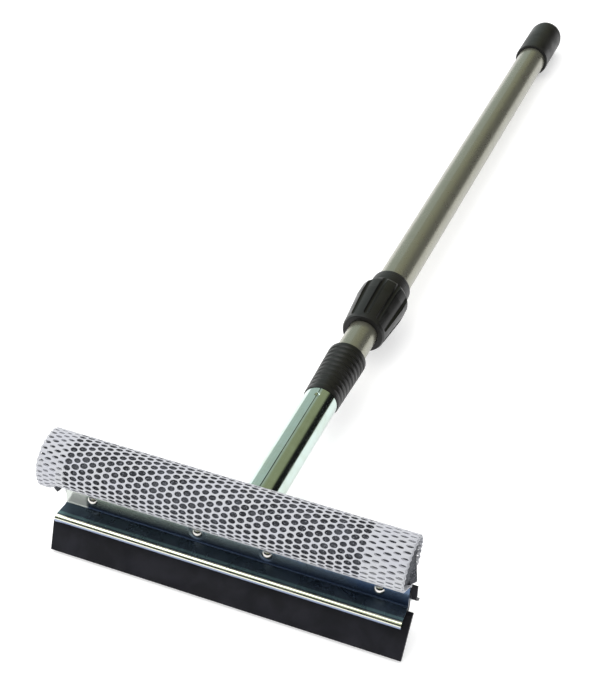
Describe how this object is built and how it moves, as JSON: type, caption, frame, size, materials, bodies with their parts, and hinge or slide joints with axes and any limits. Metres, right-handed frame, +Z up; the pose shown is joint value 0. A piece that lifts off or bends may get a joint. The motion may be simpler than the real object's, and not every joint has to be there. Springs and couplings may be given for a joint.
{
  "type": "window squeegee",
  "caption": "Window squeegee with a rubber blade, a net-covered sponge roll on the same riveted head, and a telescopic pole with a twist lock.",
  "frame": {"origin": "centre of the footprint, on the floor that the blade lip and the end cap rest on", "axes": "+X along the head to its right end, +Y along the pole from the head towards the end cap, +Z up through the sponge roll"},
  "size_m": [0.2122, 0.7084, 0.075],
  "materials": {
    "zinc_steel": "bright zinc plate, slightly blue",
    "rivet_steel": "bright zinc plate",
    "handle_steel": "yellowish zinc plate",
    "black_rubber": "matt",
    "dark_foam": "open-cell foam",
    "white_net": "knitted mesh",
    "black_grip": "matt",
    "painted_tube": "satin grey paint",
    "grey_plastic": "natural moulded",
    "black_plastic": "satin"
  },
  "bodies": {
    "pole": {"outer_tube": "painted_tube", "lock_body": "black_plastic", "end_cap": "black_plastic"},
    "slider": {"wear_ring": "grey_plastic"},
    "head": {"front_plate": "zinc_steel", "back_plate": "zinc_steel", "rubber_blade": "black_rubber", "rear_flap": "black_rubber", "sponge": "dark_foam", "net_cover": "white_net", "outer_rivets": "rivet_steel", "centre_rivets": "rivet_steel", "outer_rivet_washers": "rivet_steel", "centre_rivet_washers": "rivet_steel", "handle_tube": "handle_steel", "grip_sleeve": "black_grip", "inner_tube": "painted_tube", "tail_plug": "grey_plastic"},
    "clamp": {"clamp_ring": "grey_plastic"},
    "nut": {"lock_nut": "black_plastic"}
  },
  "joints": [
    {"name": "pole_slide", "type": "slide", "parent": "pole", "child": "slider", "axis": [0, -0.9997, 0.0233], "range_m": [0, 0.33]},
    {"name": "pole_turn", "type": "hinge", "parent": "slider", "child": "head", "pos_m": [0.0015, -0.33685, 0.02981], "axis": [0, -0.9997, 0.0233], "continuous": true},
    {"name": "clamp_slide", "type": "slide", "parent": "pole", "child": "clamp", "axis": [0, -0.9997, 0.0233], "range_m": [0, 0.003]},
    {"name": "lock_nut_turn", "type": "hinge", "parent": "clamp", "child": "nut", "pos_m": [0.0015, -0.33685, 0.02981], "axis": [0, -0.9997, 0.0233], "range_deg": [0, 270]}
  ],
  "couplings": [
    {"joint": "clamp_slide", "follows": "lock_nut_turn", "m_per_rad": 0.00063662}
  ]
}
